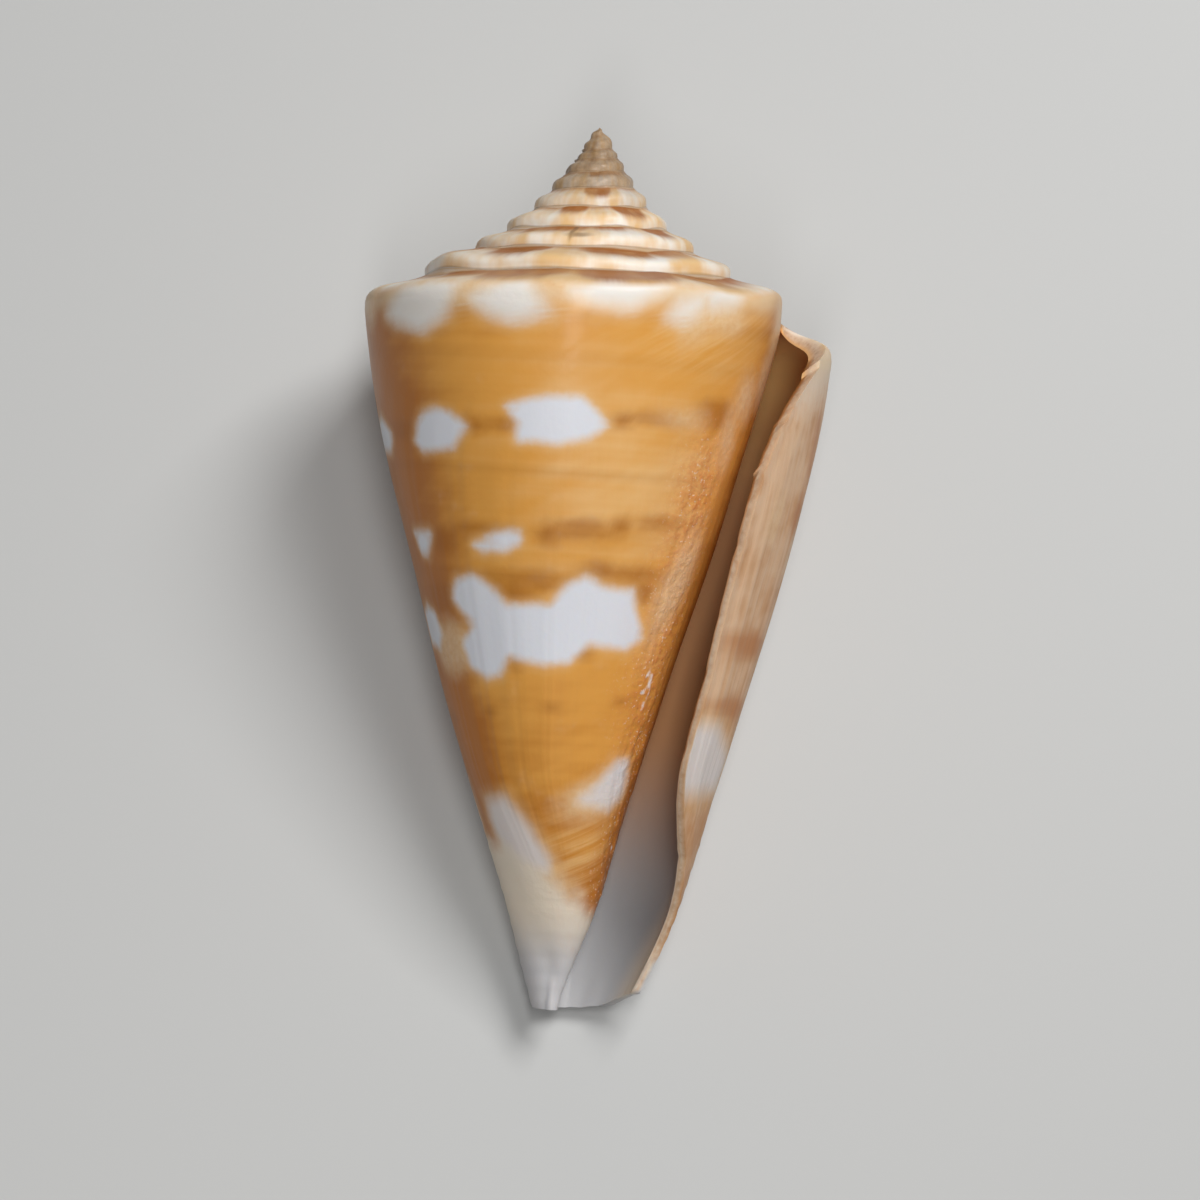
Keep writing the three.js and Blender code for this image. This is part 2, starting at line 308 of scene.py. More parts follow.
# painted shade: the orange is deeper on the right side beside the aperture and on the left side and the back
RIGHT_PAINTED_SHADE, RIGHT_PAINTED_SHADE_ANGLES = 0.9, (14, 36)
LEFT_PAINTED_SHADE, LEFT_PAINTED_SHADE_ANGLES = 1.6, (118, 164)
LEFT_PAINTED_SHADE_END = 300
# Where slanting growth lines show, under the shoulder and above the base, and their lean
BRUSHED_AREAS = (50, 22, 11.6, 2.0), (68, 34, 41.0, 2.2)
SLANT = math.radians(32)

# Fine darker lines round the shell: depth, half width and strength. The scratch also falls per degree.
SPIRAL_LINES = (13.6, 0.3, 0.2), (19.9, 0.18, 0.35), (23.3, 0.3, 0.25), (25.5, 0.35, 0.3)
SCRATCH = 32.7, 0.07, 0.8
SCRATCH_SLOPE = 0.0137
SCRATCH_MIDDLE = 90

# Pale rounded edge of the shoulder, on the ramp and below it: its own cream with a painted highlight along
# the edge
CREST_RAMP = 0.6, 1
CREST_FALL = 0.7
# Pale worn places of the lip: its upper corner, and the ridge along the silhouette
RIM_TURNS = 0.9, 1
CORNER_DEPTHS = 13, 18
RIDGE_STRENGTH, RIDGE_ANGLE, RIDGE_SPREAD = 0.55, 362, 5
RIDGE_TURNS = 0.8, 0.9
# How much softer the white marks' edges are at the shoulder, towards the base and beside the lip
SHOULDER_SOFTNESS, SOFT_SHOULDER_DEPTHS = 1.1, (11, 14)
BASE_SOFTNESS, SOFT_BASE_DEPTHS = 0.5, (34, 38)
LIP_SOFTNESS = 0.8
# Reach of the spire's colours, of its worn tip, of the pale base and its grey foot, and of the inside
SPIRE_EDGE = 0.72, 0.95
EARLY_TURNS = -5.4, -2.9
PALE_BASE_DEPTHS = 42.2, 44.8
FOOT_DEPTHS = 44, 48
INNER_ANGLES = -80, -40
# How much higher the pale base reaches at these angles
BASE_ANGLES = -30, 0, 75, 150, 250, 330, 400
BASE_SHIFTS = -2, -1, 0, 3.2, 2, -2.5, -4

# Colours, red, green and blue from 0 to 255
DEEP_ORANGE = 188, 114, 36
ORANGE = 230, 164, 78
LIGHT_ORANGE = 242, 194, 130
MARK_BROWN = 172, 102, 28
LINE_BROWN = 156, 92, 30
STRIP_TAN = 200, 144, 94
STRIP_PALE = 226, 188, 152
STRIP_BROWN = 184, 114, 54
WEATHERED_PALE = 230, 210, 188
WORN_RUST = 214, 132, 76
# Painted sparkle highlights in the worn strip
WORN_SPARKLE_HIGHLIGHT = 246, 220, 194
BRUSHED_PALE = 246, 204, 142
CREST_CREAM_AND_HIGHLIGHT = 238, 214, 176
MARK_CREAM = 228, 184, 134
MARK_PALE = 242, 214, 174
HALO_CREAM = 240, 206, 156
SHOULDER_WHITE = 240, 234, 226
SIDE_WHITE = 231, 232, 238
LOW_WHITE = 226, 213, 205
# White of the painted glints
GLINT_WHITE = 250, 236, 226
BASE_CREAM = 238, 224, 204
FOOT_GREY = 202, 202, 204
STEP_ORANGE = 233, 194, 140
STEP_PALE = 246, 240, 230
RAMP_BROWN = 168, 96, 18
# Painted shadow in the sutures
SUTURE_SHADOW_BROWN = 110, 66, 28
TIP_DARK = 112, 84, 54
TIP_PALE = 166, 136, 102
SCAR_PALE = 226, 202, 180
CRACK_BROWN = 96, 64, 38
INNER_ORANGE = 252, 200, 128
INNER_TAN = 206, 152, 106
INNER_GREY = 172, 171, 172
# Painted light on the inner face beside the lip
RIM_PAINTED_LIGHT_CREAM = 236, 214, 186
EDGE_TAN = 196, 160, 128
EDGE_PALE = 228, 206, 180

# Noise: scales per millimetre, and stretches of those that follow the growth lines or run across them
BROAD_SCALE = 0.13
MIDDLE_SCALE = 0.55
FINE_SCALE = 2.6
SPARKLE_SCALE = 5.0
STREAK_STRETCH = 2.4, 0.1, 0
BAND_STRETCH = 0.05, 1.3, 0
BLUSH_STRETCH = 0.32, 0.4, 0
CLOUD_STRETCH = 0.14, 0.4, 0
BRUSH_STRETCH = 0.14, 1.7, 0

# Finish of the surface
ROUGHNESS = 0.38
SUBSURFACE = 0.1
SUBSURFACE_RADIUS = 1.0, 0.6, 0.35
SPECULAR = 0.25
COAT = 0.1
COAT_ROUGHNESS = 0.12
BUMP_DISTANCE = 0.00006
BUMP_STRENGTH = 0.6

# Camera: the photograph's scale, centre and tilt
PIXELS = 1200
PIXELS_PER_MM = 17.67
VIEW_CENTRE = Vector((1.7, -26.67, 0))
VIEW_TILT = math.radians(3.6)
VIEW_DISTANCE = 295
SENSOR = 36
CLIP_START = 0.01

# Floor and light, in metres and watts. A light's place is given across, up and towards the camera.
FLOOR_SIZE = 2
FLOOR_COLOUR = 0.52, 0.52, 0.51, 1
WORLD_STRENGTH = 0.5
LIGHTS = (
    ("key", (0.19, 0.28, 0.32), (0.2, 0.2), 1.5),
    ("side", (-0.33, 0.03, 0.11), (0.015, 0.4), 0.03),
    ("fill", (0.01, 0.0, 0.4), (0.06, 0.3), 0.75),
)


def ease(low, high, value):
    """Smooth rise from 0 to 1 between two values."""
    share = np.clip((value - low) / (high - low), 0, 1)
    return share * share * (3 - 2 * share)


def shoulder_radius(turn):
    late = np.maximum(turn, 0)
    start = np.clip(turn + SPIRE_TURNS, 0, 1)
    growth = math.log(GROWTH_PER_TURN) * turn - LATE_SLOWING * late**2
    return SHOULDER_RADIUS * np.exp(growth) * np.sqrt(start)


def shoulder_depth(turn):
    radius = shoulder_radius(turn)
    core = 1 - np.exp(-((radius / SPIRE_CORE_RADIUS) ** SPIRE_CORE_POWER))
    descent = LATE_DESCENT * np.maximum(turn, 0) ** LATE_DESCENT_POWER
    return SPIRE_CORE_HEIGHT * core + SPIRE_SLOPE * radius + descent


def wall_thickness(turn):
    return LIP_WALL + (INNER_WALL - LIP_WALL) * ease(0, WALL_BUILDUP_TURNS, 1 - turn)


def attach_drop(turn):
    return ATTACH_SHARE * shoulder_radius(turn) + LIP_ATTACH_DROP * np.clip(turn + 1, 0, 1) ** 3


def attach_wall(turn):
    return wall_thickness(turn + 1) * np.minimum(shoulder_radius(turn) / SHOULDER_RADIUS, 1)


def side_slope(turn):
    gain = (MIDDLE_SLOPE - INNER_SLOPE) * ease(INNER_SLOPE_TURN, MIDDLE_SLOPE_TURN, turn)
    loss = (MIDDLE_SLOPE - LIP_SLOPE) * ease(MIDDLE_SLOPE_TURN, LIP_SLOPE_TURN, turn)
    return INNER_SLOPE + gain - loss


def side_radius(turn, depth):
    """Radius of the side at a depth, which never gets less than the pillar's."""
    size = np.maximum(shoulder_radius(turn) / SHOULDER_RADIUS, WELD)
    bulge = SIDE_BULGE * size
    below = np.maximum(depth - shoulder_depth(turn), 0)
    run = below - bulge * (1 - np.exp(-below / bulge))
    pillar = PILLAR_RADIUS * size
    full = INNER_TAPER + (1 - INNER_TAPER) * ease(TAPER_START_TURN, TAPER_FULL_TURN, turn)
    taper = full * BASE_TAPER * np.maximum(depth - BASE_TAPER_DEPTH, 0) ** 2
    over = shoulder_radius(turn) - side_slope(turn) * run - taper - pillar
    side = pillar + 0.5 * (over + np.hypot(over, 2 * PILLAR_BLEND * size))
    return np.where(shoulder_radius(turn) > 0, side, 0)


def side_share(row):
    """Share of the way down the side, with the rows closer together at both ends."""
    even = np.maximum(row - UNDER_ROW, 0) / (LAST_ROW - UNDER_ROW)
    return even + ROW_CROWDING * (0.5 * (1 - np.cos(math.pi * even)) - even)


def side_depth(turn, row):
    folded = 1 - (1 - BARE_SHARE) * ease(0, BARE_TURN, turn)
    step = attach_drop(turn) * folded
    under = shoulder_depth(turn) + step + attach_wall(turn) * folded
    base = LENGTH - LIP_CUTBACK * ease(LIP_CUTBACK_TURN, 1, turn)
    above = shoulder_depth(turn) + step * np.clip(row - RAMP_ROWS + 1, 0, 1)
    return np.where(row <= RAMP_ROWS, above, under + (base - under) * side_share(row))


def lip_bow(turn, row):
    """Angle by which a place lies forward of its turn, because the lip is bowed."""
    share = side_share(row)
    fade = np.exp(-share / LIP_BOW_RISE)
    bow = LIP_BOW * (1 - fade) * (1 - ease(LIP_TURN_IN, 1, share))
    ramp = np.minimum(row / (RAMP_ROWS - 1), 1)
    return bow + LIP_CORNER * ramp**2 * fade * ease(LIP_CORNER_TURN, 1, turn)


def ramp_profile(suture, crest, row):
    """Cubic from the suture to the shoulder, both given as radius and depth."""
    along = np.clip(row / (RAMP_ROWS - 1), 0, 1)
    width, fall = crest[0] - suture[0], crest[1] - suture[1]
    start = suture[0] + RAMP_START_WIDTH * width, suture[1] + RAMP_START_FALL * fall
    end = crest[0], crest[1] - SHOULDER_ROUNDING * fall
    back = 1 - along
    weights = back**3, 3 * back**2 * along, 3 * back * along**2, along**3
    knots = suture, start, end, crest
    return tuple(sum(w * knot[axis] for w, knot in zip(weights, knots)) for axis in (0, 1))


def side_profile(turn, row):
    depth = side_depth(turn, row)
    return side_radius(turn, depth), depth


def outer_profile(turn, row):
    """Radius and depth of the outer face."""
    crest = shoulder_radius(turn), shoulder_depth(turn)
    ramp = ramp_profile(side_profile(turn - 1, RAMP_ROWS), crest, row)
    side = side_profile(turn, row)
    return tuple(np.where(row < RAMP_ROWS - 1, a, b) for a, b in zip(ramp, side))


def inner_profile(turn, row):
    """Inner face of the outer wall, which closes on the turn inside it at the end of the open space."""
    corner = np.exp(-side_share(row) / CORNER_WALL_FADE) * ease(CORNER_WALL_TURN, 1, turn)
    wall = wall_thickness(turn) + CORNER_WALL * corner
    crest = shoulder_radius(turn) - wall, shoulder_depth(turn) + INNER_CREST_DROP * wall
    ramp = ramp_profile(side_profile(turn - 1, UNDER_ROW), crest, row)
    depth = side_depth(turn, row) + INNER_CREST_DROP * wall * (1 - side_share(row))
    inside = side_radius(turn - 1, depth)
    gap = side_radius(turn, depth) - inside
    side = inside + np.maximum(gap - wall, LEAST_OPENING * gap), depth
    closed = side_profile(turn - 1, np.maximum(row, UNDER_ROW))
    ends = turn < 1 - (SPACE_COLUMNS - 0.5) / COLUMNS
    return tuple(np.where(ends, c, np.where(row < RAMP_ROWS, a, b)) for a, b, c in zip(ramp, side, closed))


def base_lean(depth):
    """Sideways bend of the narrow end."""
    return BASE_LEAN * ease(*BASE_LEAN_DEPTHS, depth)


def flattened(radius, depth, angle):
    """Radius drawn in to the plane of the flat on the back, with a soft start."""
    off = np.clip(angle - FLAT_ANGLE, -FLAT_SPREAD, FLAT_SPREAD)
    limit = (FLAT_REACH - FLAT_SLOPE * depth) / np.cos(off)
    over = (radius - limit) / FLAT_SOFTNESS
    return radius - FLAT_SOFTNESS * np.log1p(np.exp(np.clip(over, -LARGEST_POWER, LARGEST_POWER)))


class Sheet:
    """Points, faces and the place on the shell of every point, gathered strip by strip."""

    def __init__(self):
        self.points = []
        self.faces = []
        self.places = []
        self.count = 0

    def add(self, turn, row, profile, face, forward=0.0):
        """Adds a strip over columns of turns and rows, moved forward round the axis in millimetres."""
        turn, row = np.broadcast_arrays(turn, row)
        radius, depth = profile
        angle = math.tau * turn + lip_bow(turn, row)
        radius = flattened(radius, depth, angle)
        swung = angle + forward / np.maximum(radius, 1)
        across = radius * np.cos(swung) + base_lean(depth)
        points = np.stack([across, -depth, radius * np.sin(swung)], axis=-1)
        columns, rows = turn.shape
        index = self.count + np.arange(columns * rows).reshape(columns, rows)
        quads = np.stack([index[:-1, :-1], index[1:, :-1], index[1:, 1:], index[:-1, 1:]], axis=-1)
        kind = np.full(turn.shape, face)
        self.points.append(points.reshape(-1, 3))
        self.faces.append(quads.reshape(-1, 4))
        self.places.append(np.stack([turn, row, angle, depth, radius, kind], axis=-1).reshape(-1, 6))
        self.count += columns * rows

    def fan(self, rim, middle):
        """Closes a ring of points that are already there on a point in its middle."""
        ring = self.count + np.arange(len(rim))
        self.points.append(np.vstack([rim, middle]))
        self.places.append(np.tile([0.0, LAST_ROW, 0.0, LENGTH, 0.0, INSIDE], (len(rim) + 1, 1)))
        self.count += len(rim) + 1
        hub = np.full(len(rim), self.count - 1)
        self.faces.append(np.stack([ring, np.roll(ring, -1), hub, hub], axis=-1))

    def weld(self):
        """Points, faces and places with the points that coincide made one."""
        points = np.vstack(self.points)
        keys = np.round(points / WELD).astype(np.int64)
        _, first, same = np.unique(keys, axis=0, return_index=True, return_inverse=True)
        same = same.reshape(-1)
        faces = []
        for quad in same[np.vstack(self.faces)]:
            corners = list(dict.fromkeys(quad.tolist()))
            if len(corners) > 2:
                faces.append(corners)
        return points[first], faces, np.vstack(self.places)[first]


def turns(first, last):
    """Column of turns, from the first to the last column of the mesh."""
    return (np.arange(first, last + 1) / COLUMNS)[:, None]


def add_lip_edge(sheet, row):
    """Rounded edge between the outer and the inner face of the lip, thin at its two ends."""
    lip = np.ones((1, 1))
    outer, inner = outer_profile(lip, row), inner_profile(lip, row)
    across = np.array([0, 0.5, 1])[:, None] * np.ones(row.shape)
    across[1, [0, -1]] = 0
    edge = tuple(a + (b - a) * across for a, b in zip(outer, inner))
    between_ends = (row > 0) & (row < LAST_ROW)
    round_edge = LIP_ROUNDING * np.array([0, 1, 0])[:, None] * between_ends
    sheet.add(np.ones((3, 1)), row, edge, EDGE, round_edge)


def add_base(sheet, space):
    """Edge of the wall at the base, and the end of the pillar."""
    base = np.array([[LAST_ROW]])
    outer, inner = outer_profile(space, base), inner_profile(space, base)
    rim = tuple(np.hstack([a, b]) for a, b in zip(outer, inner))
    sheet.add(space, np.array([[LAST_ROW, LAST_ROW]]), rim, EDGE)
    inner_turn = turns(-SPACE_COLUMNS, COLUMNS - SPACE_COLUMNS)
    radius, depth = outer_profile(inner_turn, base)
    angle = math.tau * inner_turn
    ring = np.hstack([radius * np.cos(angle) + BASE_LEAN, -depth, radius * np.sin(angle)])
    sheet.fan(ring, np.array([BASE_LEAN, BASE_DIMPLE - LENGTH, 0.0]))


def make_sheet():
    """The whole shell, with its spire, last turn, inner turn, open space, lip edge and base."""
    sheet = Sheet()
    rows = np.arange(LAST_ROW + 1.0)[None, :]
    step = np.linspace(RAMP_ROWS - 1, RAMP_ROWS, STEP_ROWS + 1)[None, :]
    ramp = np.hstack([rows[:, : RAMP_ROWS - 1], step])
    side, wall = rows[:, RAMP_ROWS:], rows[:, UNDER_ROW:]
    spire = turns(-SPIRE_TURNS * COLUMNS, COLUMNS)
    last = turns(0, COLUMNS)
    hidden = turns(-SPACE_COLUMNS, 0)
    space = turns(COLUMNS - SPACE_COLUMNS, COLUMNS)
    sheet.add(spire, ramp, outer_profile(spire, ramp), OUTSIDE)
    sheet.add(last, side, outer_profile(last, side), OUTSIDE)
    sheet.add(hidden, wall, outer_profile(hidden, wall), OUTSIDE)
    sheet.add(space, rows, inner_profile(space, rows), INSIDE)
    add_lip_edge(sheet, np.hstack([ramp, side[:, 1:]]))
    add_base(sheet, space)
    return sheet.weld()


points, faces, places = make_sheet()
turn, row, angle, depth, radius, kind = places.T
around = np.degrees(angle)
outside = kind == OUTSIDE
on_ramp = outside & (row <= RAMP_ROWS - 1)
on_side = outside & (row > RAMP_ROWS - 1)
ramp_share = np.where(on_ramp, row / (RAMP_ROWS - 1), 1.0)
below_shoulder = np.maximum(depth - shoulder_depth(turn), 0)
lip_share = ease(*LIP_STRIP_TURNS, turn) * (kind != INSIDE)


# Relief that stands in the surface itself

def ripple(across, along, waves):
    """Smooth irregular waves over two coordinates in millimetres."""
    wavelength, height, seed = waves
    draw = np.random.default_rng(SEED + seed)
    least, most = (0, 0, WAVE_STRETCH[0]), (math.tau, math.tau, WAVE_STRETCH[1])
    total = np.zeros_like(across)
    for heading, phase, stretch in draw.uniform(least, most, (WAVES, 3)):
        step = math.tau / (wavelength * stretch)
        total += np.sin(step * (across * math.cos(heading) + along * math.sin(heading)) + phase)
    return height * total / math.sqrt(WAVES)


def growth_lines(lines):
    """Irregular lines that follow the former lips."""
    width, height, seed = lines
    draw = np.random.default_rng(SEED + seed)
    grid = np.arange(-SPIRE_TURNS, 1 + width, width)
    return height * np.interp(turn, grid, draw.normal(size=len(grid)))


def worn_zone():
    """How far a place lies in the pitted strip that runs down beside the aperture."""
    middle = np.interp(depth, WORN_DEPTHS, WORN_ANGLES)
    off = np.radians(around - middle) * radius
    ends = ease(*WORN_START, depth) * (1 - ease(*WORN_END, depth))
    return np.exp(-((off / WORN_WIDTH) ** 2)) * ends * on_side


worn = worn_zone()


def pitted():
    """Small dents and blisters in the worn strip."""
    draw = np.random.default_rng(SEED + PIT_SEED)
    total = np.zeros_like(depth)
    near = np.flatnonzero(worn > LEAST_WORN)
    for _ in range(PITS):
        down = draw.uniform(WORN_DEPTHS[0], WORN_DEPTHS[-1])
        swing = draw.normal(0, PIT_SPREAD * WORN_WIDTH)
        size = draw.uniform(*PIT_SIZES)
        height = draw.choice(PIT_SIGNS) * size * draw.uniform(*PIT_STEEPNESS)
        spot = np.interp(down, WORN_DEPTHS, WORN_ANGLES)
        off = np.radians(around[near] - spot) * radius[near] - swing
        total[near] += height * np.exp(-(off**2 + (depth[near] - down) ** 2) / size**2)
    return total * np.sqrt(worn)


def apex_scar():
    """How far a place lies in the chipped spot beside the apex."""
    around_scar, down, size = APEX_SCAR
    off = np.radians(around % 360 - around_scar) * radius
    return np.exp(-(off**2 + (depth - down) ** 2) / size**2) * on_ramp


def relief():
    """Height of every place over the smooth form, in millimetres."""
    arc = np.radians(around) * BODY_ARC
    grown = SHOULDER_GROWTH + (1 - SHOULDER_GROWTH) * ease(*GROWTH_SHARES, side_share(row))
    lines = (growth_lines(FINE_GROWTH) + growth_lines(BROAD_GROWTH)) * (1 + LIP_GROWTH * lip_share)
    height = lines * grown * (1 - ease(*GROWTH_DEPTHS, depth))
    reach = ease(0, BODY_WAVE_TURNS, turn + SPIRE_TURNS) * (1 - ease(*BODY_WAVE_DEPTHS, depth))
    height += ripple(arc, depth, BODY_WAVES) * reach
    crest = np.exp(-(((row - RAMP_ROWS + 1) / CREST_ROWS) ** 2)) * outside
    crest *= np.clip(radius / CREST_FULL_RADIUS, LEAST_SHARE, 1)
    crest *= 1 - CREST_CALM * ease(*CREST_CALM_TURNS, turn)
    height += crest * ripple(arc, turn * CREST_TURN_LENGTH, CREST_WAVES)
    height += on_ramp * growth_lines(RAMP_GROWTH) * np.clip(radius / RAMP_FULL_RADIUS, LEAST_SHARE, 1)
    spacing, tall = BASE_CORDS
    height += tall * np.sin(math.tau * depth / spacing) * ease(*BASE_CORD_DEPTHS, depth) * on_side
    height += pitted() - SCAR_DEPTH * apex_scar()
    return height * np.where(outside, 1.0, INNER_RELIEF)


def uneven_steps():
    """Rise and fall of the shoulders and sutures, in millimetres."""
    near = np.exp(-below_shoulder / STEP_REACH) * np.clip(radius / STEP_FULL_RADIUS, 0, 1)
    arc = np.radians(around) * STEP_ARC
    return near * ripple(arc, 0 * arc, STEP_WAVES) * outside * (turn < STEP_LAST_TURN)


def chips():
    """How far the lip's edge and the base are broken back, in millimetres."""
    back = sum(ripple(depth, 0 * depth, waves) for waves in LIP_CHIPS)
    for down, deep, size in LIP_NICKS:
        back += deep * np.exp(-(((depth - down) / size) ** 2))
    arc = np.radians(around) * BASE_ARC
    up = sum(ripple(arc, 0 * arc, waves) for waves in BASE_CHIPS)
    highest, lowest = BASE_CHIP_HEIGHTS
    base = ease(LENGTH - highest, LENGTH - lowest, depth) * np.interp(radius, BASE_CHIP_RADII, (0, 1))
    return ease(LIP_EDGE_TURN, 1, turn) * back, base * np.maximum(up, 0)


def new_mesh(name, points, faces):
    """Mesh with its faces turned outwards."""
    mesh = bpy.data.meshes.new(name)
    mesh.from_pydata(points.tolist(), [], faces)
    build = bmesh.new()
    build.from_mesh(mesh)
    bmesh.ops.recalc_face_normals(build, faces=build.faces)
    build.to_mesh(mesh)
    build.free()
    return mesh


mesh = new_mesh("shell", points, faces)
normals = np.empty(len(points) * 3)
mesh.vertex_normals.foreach_get("vector", normals)
normals = normals.reshape(-1, 3)
broken_back, broken_up = chips()
swing = np.stack([np.sin(angle), 0 * angle, -np.cos(angle)], axis=-1)
points = points + normals * relief()[:, None] + swing * broken_back[:, None]
points[:, 1] += broken_up + uneven_steps()
mesh.vertices.foreach_set("co", points.ravel())


# Fields over the surface, from which the material takes its colours

def radius_at(down):
    """Radius of the side at a depth, near enough all round."""
    return float(side_radius(np.array(SIDE_TURN), np.array(float(down))))


def back_marks():
    """The rows of white marks go on round the side that is turned away."""
    draw = np.random.default_rng(SEED + BACK_SEED)
    marks = []
    for down, wide, tall in BACK_ROWS:
        here = BACK_ANGLES[0] + draw.uniform(0, BACK_START)
        while here < BACK_ANGLES[1]:
            width = wide * draw.uniform(*BACK_WIDTHS)
            height = tall * draw.uniform(*BACK_HEIGHTS)
            middle = down + draw.normal(0, BACK_SHIFT)
            marks.append((here, middle, width, height, draw.normal(0, BACK_LEAN)))
            for _ in range(MARK_LOBES):
                aside = draw.uniform(-LOBE_ASIDE, LOBE_ASIDE) * math.degrees(width / radius_at(down))
                above = draw.uniform(-LOBE_ABOVE, LOBE_ABOVE) * height
                share = draw.uniform(*LOBE_SIZES)
                lean = draw.normal(0, LOBE_LEAN)
                marks.append((here + aside, middle + above, width * share, height * share, lean))
            narrowing = (BACK_STEP_RADIUS + BACK_STEP_SOFTNESS) / (radius_at(down) + BACK_STEP_SOFTNESS)
            here += draw.uniform(*BACK_STEPS) * narrowing
    return marks


def outline_field(outlines):
    """Distance inside the nearest outline in millimetres, negative outside it."""
    field = np.full(len(depth), FAR_OUTSIDE)
    for outline in outlines:
        corners = np.array(outline, float)
        middle, down = corners.mean(axis=0)
        arc = math.radians(1) * radius_at(down)
        near_middle = (np.abs(around - middle) < NEAR_ANGLE) & (np.abs(depth - down) < NEAR_DEPTH)
        near = np.flatnonzero(outside & near_middle)
        spots = np.stack([(around[near] - middle) * arc, depth[near]], axis=-1)
        corners = np.stack([(corners[:, 0] - middle) * arc, corners[:, 1]], axis=-1)
        gap = np.full(len(near), np.inf)
        within = np.zeros(len(near), bool)
        for start, end in zip(corners, np.roll(corners, -1, axis=0)):
            side = end - start
            share = np.clip((spots - start) @ side / (side @ side), 0, 1)
            gap = np.minimum(gap, np.hypot(*(spots - start - share[:, None] * side).T))
            level = (start[1] > spots[:, 1]) != (end[1] > spots[:, 1])
            rise = end[1] - start[1] or 1.0
            within ^= level & (spots[:, 0] < start[0] + (spots[:, 1] - start[1]) / rise * side[0])
        field[near] = np.maximum(field[near], np.where(within, gap, -gap))
    return field


def mark_field(marks):
    """Distance inside the nearest oval mark's edge in millimetres, negative outside."""
    field = np.full(len(depth), FAR_OUTSIDE)
    for middle, down, half_width, half_height, lean in marks:
        near = np.flatnonzero(outside & (np.abs(around - middle) < NEAR_ANGLE))
        off = np.radians(around[near] - middle) * radius[near]
        fall = depth[near] - down
        cosine, sine = math.cos(math.radians(lean)), math.sin(math.radians(lean))
        across, along = off * cosine - fall * sine, off * sine + fall * cosine
        size = np.hypot(across / half_width, along / half_height)
        field[near] = np.maximum(field[near], (1 - size) * min(half_width, half_height))
    return field


def area(middle, spread, down, reach):
    """Soft oval area about an angle and a depth."""
    return np.exp(-(((around - middle) / spread) ** 2) - ((depth - down) / reach) ** 2)


def tone_and_painted_shading():
    """Lighter and deeper parts of the orange, with painted light on the upper front and painted shade on both
    sides.
    """
    # painted light on the upper front
    light = PAINTED_LIGHT_TONE * area(*PAINTED_LIGHT_AREA)
    deep = LOW_TONE * ease(*LOW_DEPTHS, depth) + TOP_TONE * (1 - ease(*TOP_DEPTHS, depth))
    # painted shade on the right side beside the aperture
    right = RIGHT_PAINTED_SHADE * (1 - ease(*RIGHT_PAINTED_SHADE_ANGLES, around))
    # painted shade on the left side and round the back
    left_painted_shade = LEFT_PAINTED_SHADE * ease(*LEFT_PAINTED_SHADE_ANGLES, around) * (around < LEFT_PAINTED_SHADE_END)
    return light - deep - right - left_painted_shade


def between(first, last, angles):
    """How far angles lie between the first and the last, with soft ends."""
    begun = ease(first - PATCH_SOFTNESS, first + PATCH_SOFTNESS, angles)
    return begun * (1 - ease(last - PATCH_SOFTNESS, last + PATCH_SOFTNESS, angles))


def channel_reach():
    """Share of the ramp that its brown patches cover, from the suture outwards."""
    draw = np.random.default_rng(SEED + PATCH_SEED)
    starts = draw.uniform(-SPIRE_TURNS * 360, 360, RAMP_PATCHES)
    patches = [(start, start + draw.uniform(*PATCH_LENGTHS), draw.uniform(*PATCH_SHARES)) for start in starts]
    front = (around % 360 < FRONT_ANGLE) & (turn < FRONT_TURN)
    reach = np.full(len(depth), SUTURE_SHARE)
    for first, last, share in patches:
        reach = np.maximum(reach, np.where(front, 0, share * between(first, last, around)))
    for whorl, first, last, share in FRONT_PATCHES:
        reach = np.maximum(reach, share * between(first, last, around + 360 * whorl))
    return reach


def crest_cream_and_highlight():
    """The rounded edge of the shoulder, pale with its own cream and a painted highlight."""
    fall = np.exp(-((below_shoulder / CREST_FALL) ** 2))
    return np.where(on_ramp, ease(*CREST_RAMP, ramp_share), fall) * outside * (turn >= 0)


def brushed():
    """Where slanting growth lines show, under the shoulder and above the base."""
    return np.maximum(*(area(*brushed_area) for brushed_area in BRUSHED_AREAS)) * on_side


def slanting():
    """Coordinates along and across lines that rise to the right, in millimetres."""
    arc = np.radians(around) * radius
    along = arc * math.cos(SLANT) + depth * math.sin(SLANT)
    return np.stack([along, depth * math.cos(SLANT) - arc * math.sin(SLANT), 0 * arc], axis=-1)


def growth_grain():
    """Coordinates round the shell and down it, in millimetres."""
    arc = np.radians(around) * BODY_ARC
    return np.stack([arc, depth, 0 * arc], axis=-1)


def weathered():
    """Pale worn edge of the lip at its upper corner and along the silhouette."""
    corner = ease(*RIM_TURNS, turn) * (1 - ease(*CORNER_DEPTHS, depth))
    ridge = RIDGE_STRENGTH * np.exp(-(((around - RIDGE_ANGLE) / RIDGE_SPREAD) ** 2))
    return np.maximum(corner, ridge * ease(*RIDGE_TURNS, turn))


def spiral_lines():
    """Fine darker lines that run round the shell."""
    slanted = depth - SCRATCH_SLOPE * (around - SCRATCH_MIDDLE)
    lines = [(depth, *line) for line in SPIRAL_LINES] + [(slanted, *SCRATCH)]
    return sum(deep * np.exp(-(((at - line) / wide) ** 2)) for at, line, wide, deep in lines) * on_side


def mark_softness():
    """How soft the edges of the white marks are."""
    shoulder = SHOULDER_SOFTNESS * (1 - ease(*SOFT_SHOULDER_DEPTHS, depth))
    return 1 + shoulder + BASE_SOFTNESS * ease(*SOFT_BASE_DEPTHS, depth) + LIP_SOFTNESS * lip_share


def suture():
    """The seam between a ramp and the turn above it, where painted shadow darkens the crease."""
    return np.exp(-((ramp_share / SUTURE_SHADOW_WIDTH) ** 2)) * on_ramp + (turn < 0) * (row == RAMP_ROWS)


